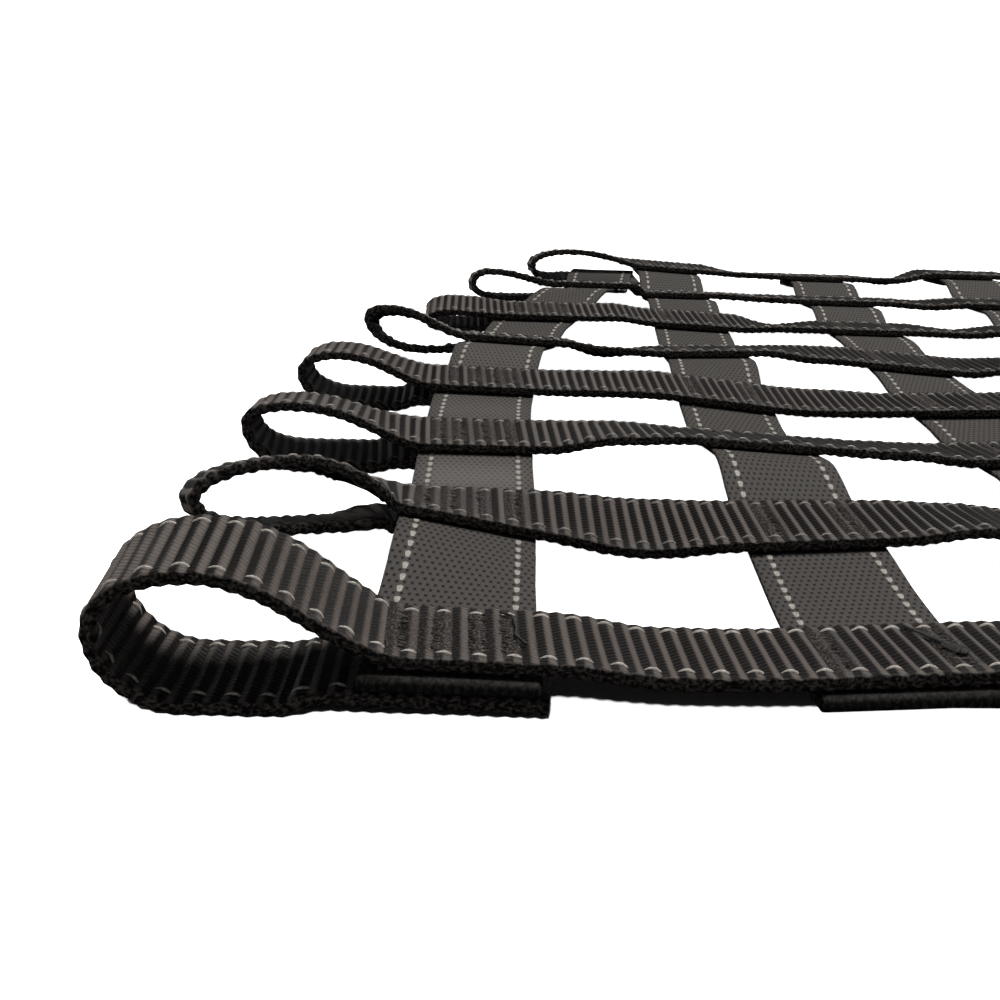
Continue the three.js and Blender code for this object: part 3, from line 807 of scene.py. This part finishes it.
# Specks where the strap is sewn: dark thread, with light specks that are painted glints on it.
SPECK_GRAIN = (2.6, 1.3, 1.0)
SPECK_BAND = (0.42, 0.72)
SPECK_HEIGHT = 2.5
SPECK_COVER = 0.85


def row_material():
    made, tree, principled = shader("row_webbing")
    place, along, around = weave_axes(tree)
    from_near = maths(tree, "PINGPONG", around, ROW_HALF_ROUND)
    from_edge = maths(tree, "MINIMUM", from_near, maths(tree, "SUBTRACT", ROW_HALF_ROUND, from_near))
    inner = step_up(tree, from_edge, *EDGE_BAND)
    rib = maths(tree, "DIVIDE", along, RIB_PITCH)
    rib_share = maths(tree, "FRACT", rib)
    crest = step_up(tree, maths(tree, "PINGPONG", rib, 0.5), *GROOVE_BAND)
    painted_lit_side = step_up(tree, rib_share, *PAINTED_LIT_SIDE_BAND)
    stagger = maths(tree, "MULTIPLY", maths(tree, "MODULO", maths(tree, "FLOOR", rib), 2.0), 0.5)
    wander = scaled_noise(tree, place, YARN_WANDER_GRAIN)
    phase = maths(tree, "ADD", maths(tree, "DIVIDE", around, YARN_PITCH), stagger)
    phase = maths(tree, "MULTIPLY_ADD", rib_share, YARN_SLANT, phase)
    phase = maths(tree, "MULTIPLY_ADD", wander, YARN_WANDER, phase)
    ridge = maths(tree, "MULTIPLY", maths(tree, "PINGPONG", phase, 0.5), 2.0)
    yarn = maths(tree, "POWER", ridge, YARN_ROUND)
    fibre = scaled_noise(tree, place, FIBRE_GRAIN, detail=4.0)
    knots = scaled_noise(tree, place, KNOT_GRAIN, detail=3.0)
    specks = scaled_noise(tree, place, SPECK_GRAIN)
    sewn = add_node(tree, "ShaderNodeAttribute", attribute_name="mark").outputs["Fac"]

    body_tone = maths(tree, "MULTIPLY_ADD", fibre, *FIBRE_SHADE)
    body_tone = shaded(tree, body_tone, yarn, YARN_SHADE)
    # Painted shade: the grooves between ribs are darker in the colour itself.
    body_tone = shaded(tree, body_tone, crest, PAINTED_GROOVE_SHADE)
    # Painted light and shade: each rib's one side is lighter and its other side darker in the colour itself.
    body_tone = shaded(tree, body_tone, painted_lit_side, PAINTED_LIT_SIDE_SHADE)
    # The knotted edge yarn, its tone set low in part as painted shade on the edges.
    knots_and_edge_shade = maths(tree, "MULTIPLY_ADD", step_up(tree, knots, *KNOT_BAND), *KNOTS_AND_EDGE_SHADE)
    tone = blend(tree, inner, knots_and_edge_shade, body_tone)
    # In sewn places the tone turns to specks: dark thread with painted glints.
    tone = blend(tree, maths(tree, "MULTIPLY", sewn, SPECK_COVER), tone, step_up(tree, specks, *SPECK_BAND))
    colour = ramp(tree, tone, ROW_TONES, ROW_DARK, ROW_LIGHT)

    roughness = blend(tree, inner, EDGE_ROUGHNESS, maths(tree, "MULTIPLY_ADD", fibre, *FIBRE_ROUGHNESS))
    height = maths(tree, "MULTIPLY_ADD", fibre, FIBRE_HEIGHT, maths(tree, "MULTIPLY", yarn, YARN_HEIGHT))
    height = blend(tree, inner, maths(tree, "MULTIPLY", knots, KNOT_HEIGHT), height)
    height = blend(tree, sewn, height, maths(tree, "MULTIPLY", specks, SPECK_HEIGHT))
    connect(tree, principled, colour, roughness, height, ROW_BUMP_STRENGTH, ROW_BUMP_DEPTH)
    principled.inputs["Specular IOR Level"].default_value = ROW_SPECULAR
    return made


CROSS_DARK = (0.008, 0.0074, 0.007)
CROSS_LIGHT = (0.14, 0.132, 0.126)
CROSS_TONES = (0.025, 0.8)
CROSS_SPECULAR = 0.1
CROSS_ROUGHNESS = (0.2, 0.55)
CROSS_BUMP_STRENGTH = 0.6
CROSS_BUMP_DEPTH = 0.00015
# Weave holes in staggered columns: their pitches, and half a hole as shares of its column and of its pitch.
HOLE_ACROSS = 1.26
HOLE_ALONG = 4.6
HOLE_HALF_WIDTH = 0.43
HOLE_HALF_LENGTH = 0.14
HOLE_BAND = (0.4, 1.3)
HOLE_WANDER = (0.35, -0.17)
HOLE_WANDER_GRAIN = (0.25, 0.25, 1.0)
CROSS_YARN_SHADE = (0.12, 0.45)
CROSS_YARN_HEIGHT = 0.35
CROSS_FIBRE_GRAIN = (1.1, 6.0, 1.0)
CROSS_FIBRE_TONE = 0.35
CROSS_FIBRE_HEIGHT = 0.4
# Where the strap is marked as pale, its holes fill up and its tone rises as painted sheen; where the mark is
# below nought, its tone falls as painted shade.
PALE_FILLS = 0.5
PAINTED_SHEEN_AND_SHADE = (0.75, 1.0)
# The near end fold: the length at its turn, how dark it is there as painted shade, and how dotted it is
# there.
FOLD_HALF_TURN = 1.3
FOLD_APEX = FOLD_REACH + ROW_WIDTH / 2 + FOLD_HALF_TURN
FOLD_BAND = (1.5, 4.0)
FOLD_FILLS = 0.3
PAINTED_FOLD_SHADE = (0.32, 0.18)
DOT_GRAIN = (2.2, 1.5, 1.0)
DOT_BAND = (0.4, 0.62)
DOT_SHADE = (1.1, 0.35)


def off_middle(tree, value):
    """How far a value's share of a whole step is from one half."""
    return maths(tree, "ABSOLUTE", maths(tree, "SUBTRACT", maths(tree, "FRACT", value), 0.5))


def cross_material():
    made, tree, principled = shader("cross_webbing")
    place, along, around = weave_axes(tree)
    pale = add_node(tree, "ShaderNodeAttribute", attribute_name="mark").outputs["Fac"]
    nudge = maths(tree, "MULTIPLY_ADD", scaled_noise(tree, place, HOLE_WANDER_GRAIN), *HOLE_WANDER)
    column = maths(tree, "DIVIDE", maths(tree, "ADD", around, nudge), HOLE_ACROSS / 2)
    odd = maths(tree, "MODULO", maths(tree, "FLOOR", column), 2.0)
    beside = off_middle(tree, column)
    hole = maths(tree, "MULTIPLY_ADD", odd, 0.5, maths(tree, "DIVIDE", along, HOLE_ALONG))
    lengthwise = off_middle(tree, hole)
    far_out = maths(tree, "ADD", maths(tree, "POWER", maths(tree, "DIVIDE", beside, HOLE_HALF_WIDTH), 2.0),
                    maths(tree, "POWER", maths(tree, "DIVIDE", lengthwise, HOLE_HALF_LENGTH), 2.0))
    solid = step_up(tree, far_out, *HOLE_BAND)
    # The weave closes up where the strap turns back under itself.
    from_fold = maths(tree, "ABSOLUTE", maths(tree, "SUBTRACT", along, FOLD_APEX))
    unfolded = step_up(tree, from_fold, *FOLD_BAND)
    solid = maths(tree, "MAXIMUM", solid, maths(tree, "MULTIPLY_ADD", unfolded, -FOLD_FILLS, FOLD_FILLS))
    yarn = maths(tree, "MULTIPLY", maths(tree, "SUBTRACT", 0.5, beside), 2.0)
    fibre = scaled_noise(tree, place, CROSS_FIBRE_GRAIN, detail=3.0)
    dots = step_up(tree, scaled_noise(tree, place, DOT_GRAIN, detail=1.0), *DOT_BAND)

    tone = maths(tree, "MULTIPLY_ADD", yarn, *CROSS_YARN_SHADE)
    tone = maths(tree, "MULTIPLY_ADD", fibre, CROSS_FIBRE_TONE, tone)
    filled = maths(tree, "MAXIMUM", solid, maths(tree, "MULTIPLY", pale, PALE_FILLS))
    tone = maths(tree, "MULTIPLY", tone, filled)
    # Painted sheen lifts the tone of cross strap 1 and painted shade lowers it.
    tone = shaded(tree, tone, pale, PAINTED_SHEEN_AND_SHADE)
    # Painted shade: the fold's turn is darkened in the colour itself.
    tone = shaded(tree, tone, unfolded, PAINTED_FOLD_SHADE)
    dotted = maths(tree, "MULTIPLY_ADD", dots, *DOT_SHADE)
    tone = maths(tree, "MULTIPLY", tone, blend(tree, unfolded, dotted, 1.0))
    colour = ramp(tree, tone, CROSS_TONES, CROSS_DARK, CROSS_LIGHT)

    roughness = maths(tree, "MULTIPLY_ADD", fibre, *CROSS_ROUGHNESS)
    height = maths(tree, "MULTIPLY_ADD", yarn, CROSS_YARN_HEIGHT, solid)
    height = maths(tree, "MULTIPLY_ADD", fibre, CROSS_FIBRE_HEIGHT, maths(tree, "MULTIPLY", height, unfolded))
    connect(tree, principled, colour, roughness, height, CROSS_BUMP_STRENGTH, CROSS_BUMP_DEPTH)
    principled.inputs["Specular IOR Level"].default_value = CROSS_SPECULAR
    return made


THREAD_GRAIN = 1800.0
THREAD_TONES = (0.3, 0.7)
THREAD_BUMP_STRENGTH = 0.4
THREAD_BUMP_DEPTH = 0.0001


def thread_material(name, dark, light, roughness):
    made, tree, principled = shader(name)
    place = add_node(tree, "ShaderNodeTexCoord")
    settings = {"Vector": place.outputs["Object"], "Scale": THREAD_GRAIN, "Detail": 2.0}
    noise = add_node(tree, "ShaderNodeTexNoise", settings).outputs["Fac"]
    bump = add_node(tree, "ShaderNodeBump",
                    {"Height": noise, "Strength": THREAD_BUMP_STRENGTH, "Distance": THREAD_BUMP_DEPTH})
    tree.links.new(ramp(tree, noise, THREAD_TONES, dark, light), principled.inputs["Base Color"])
    tree.links.new(bump.outputs["Normal"], principled.inputs["Normal"])
    principled.inputs["Roughness"].default_value = roughness
    return made


row_webbing = row_material()
cross_webbing = cross_material()
tracer_thread = thread_material("tracer_thread", (0.28, 0.265, 0.24), (0.58, 0.55, 0.5), 0.5)
far_tracer_thread = thread_material("far_tracer_thread", (0.13, 0.12, 0.11), (0.3, 0.285, 0.26), 0.5)
cross_tracer_thread = thread_material("cross_tracer_thread", (0.2, 0.19, 0.17), (0.4, 0.38, 0.34), 0.6)
sewing_thread = thread_material("sewing_thread", (0.02, 0.018, 0.017), (0.11, 0.1, 0.093), 0.6)
loose_thread = thread_material("loose_thread", (0.002, 0.002, 0.002), (0.012, 0.011, 0.011), 0.7)

# Straps
row_names = [f"row_strap_{row + 1}" for row in range(len(ROWS))]
cross_names = [f"cross_strap_{cross + 1}" for cross in range(CROSS_COUNT)]
row_lines = [row_line(row) for row in range(len(ROWS))]
cross_lines = [cross_line(cross) for cross in range(CROSS_COUNT)]
# Slow unevenness: the stations between its new values, and its strength in millimetres.
ROW_ASKEW = (60, 0.3)
ROW_CUP = (90, 0.12)
CROSS_WIDTH_CHANGE = (12, 0.12)
CROSS_ASKEW = (30, 0.2)
CROSS_CUP = (20, 0.08)
# The last station of a row strap is this far inside its end, on its last rib.
END_INSET = 1e-6


def smooth_noise(count, spacing, strength):
    """Slow unevenness along a strap, with a new value every spacing stations."""
    knots = chance.uniform(-1, 1, count // spacing + 3)
    return strength * np.interp(np.arange(count) / spacing, np.arange(len(knots)), knots)


for row, line in enumerate(row_lines):
    seams = [line.length_where(0, seam_x(row, cross)) for cross in range(CROSS_COUNT)]
    if row == 0:
        seams[0] += FIRST_SEAM_SHIFT
    tacks = [middle + away + TACK_SPREAD * chance.uniform(-1, 1) for cross, middle in enumerate(seams)
             for away in (EDGE_TACKS if cross in (0, CROSS_COUNT - 1) else TACKS)]
    ribs = Ribs(line, tacks)
    shares = (np.arange(ribs.count)[:, None] + RIB_SHARES[None, :]).ravel()
    s = np.append(shares * ribs.pitch, line.length - END_INSET)
    count = len(s)
    askew = smooth_noise(count, *ROW_ASKEW)
    if row == 0:
        askew -= CUT_SLANT * np.clip(1 - s / CUT_SLANT_LENGTH, 0, 1)
    webbing = strap_object(
        f"{row_names[row]}_webbing", line, (ROW_WIDTH / 2, ROW_THICKNESS / 2), s,
        ribs.half_width(s), ribs.crest(s), ribs.dip(s), askew, smooth_noise(count, *ROW_CUP),
        ribs.pressed[ribs.index(s)], RIB_PITCH / ribs.pitch, row_webbing)
    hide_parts(row_names[row])
    tracers = row_tracers(f"{row_names[row]}_tracers", line, ribs,
                          tracer_thread if row == 0 else far_tracer_thread)
    paths = [tack_path(line, tack, ROW_THICKNESS / 2) for tack in tacks]
    sewn = tubes_object(f"{row_names[row]}_stitches", [p for p, _ in paths], [o for _, o in paths],
                        THREAD_RADIUS, THREAD_SIDES, sewing_thread)
    if row == 0:
        loose = [loose_path(line, ends, LOOSE_RADIUS) for ends in LOOSE_ENDS]
        tubes_object(f"{row_names[row]}_loose_ends", [p for p, _ in loose],
                                      [o for _, o in loose], LOOSE_RADIUS, LOOSE_SIDES, loose_thread)

for cross, line in enumerate(cross_lines):
    count = int(line.length / CROSS_STEP) + 1
    s = np.linspace(0, line.length, count)
    half_width = CROSS_WIDTH / 2 + smooth_noise(count, *CROSS_WIDTH_CHANGE)
    half_thickness = np.full(count, CROSS_THICKNESS / 2)
    pale = np.zeros(count)
    # Painted sheen and painted shade along cross strap 1.
    if cross == 0:
        for y, strength in SHEEN_AND_SHADE_STRETCHES:
            pale += strength * np.exp(-((s - line.length_where(1, y)) / SHEEN_AND_SHADE_REACH) ** 2)
    webbing = strap_object(
        f"{cross_names[cross]}_webbing", line, (CROSS_WIDTH / 2, CROSS_THICKNESS / 2), s,
        half_width, half_thickness, np.zeros(count),
        smooth_noise(count, *CROSS_ASKEW), smooth_noise(count, *CROSS_CUP), pale, 1.0, cross_webbing)
    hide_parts(cross_names[cross])
    tracers = cross_tracers(f"{cross_names[cross]}_tracers", line, cross_tracer_thread)

# Floor
FLOOR_SIDE = 40
FLOOR_COLOUR = (0.5, 0.5, 0.5, 1)
FLOOR_ROUGHNESS = 0.9
FLOOR_SPECULAR = 0.1
floor_mesh = bpy.data.meshes.new("floor")
half_side = FLOOR_SIDE / 2
corners = [(-half_side, -half_side, 0), (half_side, -half_side, 0), (half_side, half_side, 0),
           (-half_side, half_side, 0)]
floor_mesh.from_pydata(corners, [], [(0, 1, 2, 3)])
floor = bpy.data.objects.new("floor", floor_mesh)
bpy.context.scene.collection.objects.link(floor)
floor_material, _, floor_shader = shader("pale_floor")
floor_shader.inputs["Base Color"].default_value = FLOOR_COLOUR
floor_shader.inputs["Roughness"].default_value = FLOOR_ROUGHNESS
floor_shader.inputs["Specular IOR Level"].default_value = FLOOR_SPECULAR
floor_mesh.materials.append(floor_material)
floor.visible_diffuse = False
floor.visible_glossy = False
floor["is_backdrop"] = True

# Light: a soft key from above, a little behind and to the right, a weak low fill from the left, a dim sky
# with a thin pale horizon, and two lights for the floor alone. The sky has pairs of a height, from 0 straight
# down to 1 straight up, and its brightness.
SKY = ((0.0, 0.0), (0.484, 0.0), (0.489, 1.05), (0.53, 1.05), (0.56, 0.07), (1.0, 0.11))
scene = bpy.context.scene
world = bpy.data.worlds.new("studio")
world.use_nodes = True
scene.world = world
sky = world.node_tree
background = sky.nodes["Background"]
direction = add_node(sky, "ShaderNodeTexCoord")
split = add_node(sky, "ShaderNodeSeparateXYZ", {"Vector": direction.outputs["Generated"]})
span = {"Value": split.outputs["Z"], "From Min": -1.0, "From Max": 1.0}
level = add_node(sky, "ShaderNodeMapRange", span)
tones = add_node(sky, "ShaderNodeValToRGB", {"Fac": level.outputs["Result"]})
for height, _ in SKY[1:-1]:
    tones.color_ramp.elements.new(height)
for element, (height, tone) in zip(tones.color_ramp.elements, SKY):
    element.position = height
    element.color = (tone, tone, tone, 1)
sky.links.new(tones.outputs["Color"], background.inputs["Color"])

KEY_FROM = Vector((0.25, 0.33, 0.9))
FILL_FROM = Vector((-0.95, 0.15, 0.14))
FLOOR_FRONT = Vector((-0.1, -0.8, 0.55))
FLOOR_ABOVE = Vector((-0.3, 0.6, 1.0))


def collection_of(name, objects):
    made = bpy.data.collections.new(name)
    for each in objects:
        made.objects.link(each)
    return made


def sun(name, energy, colour, source, spread, lit, blockers=None):
    """A soft sun that lights only some objects, and that may be kept off only by some."""
    light = bpy.data.lights.new(name, "SUN")
    light.energy = energy
    light.angle = math.radians(spread)
    light.color = colour
    made = bpy.data.objects.new(name, light)
    scene.collection.objects.link(made)
    made.rotation_mode = "QUATERNION"
    made.rotation_quaternion = source.normalized().to_track_quat("Z", "Y")
    made.light_linking.receiver_collection = collection_of(f"{name}_receivers", lit)
    if blockers:
        made.light_linking.blocker_collection = collection_of(f"{name}_blockers", blockers)


WARM = (1.0, 0.965, 0.93)
WARM_FILL = (1.0, 0.97, 0.94)
WHITE = (1.0, 1.0, 1.0)
near_pieces = [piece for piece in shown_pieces() if piece.name.startswith(row_names[0])]
sun("key", energy=3.55, colour=WARM, source=KEY_FROM, spread=28, lit=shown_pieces())
sun("fill", energy=0.9, colour=WARM_FILL, source=FILL_FROM, spread=20, lit=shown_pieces())
sun("floor_front", energy=11.5, colour=WHITE, source=FLOOR_FRONT, spread=3, lit=[floor], blockers=near_pieces)
sun("floor_above", energy=9.4, colour=WHITE, source=FLOOR_ABOVE, spread=30, lit=[floor])

# Camera, as fitted to the photograph: its place in the net's millimetres, and its angles in degrees, to the
# right of straight on, up from level, and rolled. With no turn a camera looks straight down.
FOCAL_PIXELS = 1600
IMAGE_SIDE = 1000
CAMERA_PLACE = np.array([0.7, -220.0, 86.6])
CAMERA_YAW = 2.17
CAMERA_PITCH = -15.16
CAMERA_ROLL = 2.03
LEVEL = 90
camera = bpy.data.cameras.new("camera")
camera.sensor_width = 36
camera.lens = camera.sensor_width * FOCAL_PIXELS / IMAGE_SIDE
camera.clip_start = 0.01
camera.clip_end = 100
camera_object = bpy.data.objects.new("camera", camera)
scene.collection.objects.link(camera_object)
turn = (Matrix.Rotation(-math.radians(CAMERA_YAW), 4, "Z")
        @ Matrix.Rotation(math.radians(LEVEL + CAMERA_PITCH), 4, "X")
        @ Matrix.Rotation(math.radians(CAMERA_ROLL), 4, "Z"))
camera_object.matrix_world = Matrix.Translation((CAMERA_PLACE + NET_TO_FRAME) * MM) @ turn
scene.camera = camera_object
scene.view_settings.view_transform = "Standard"
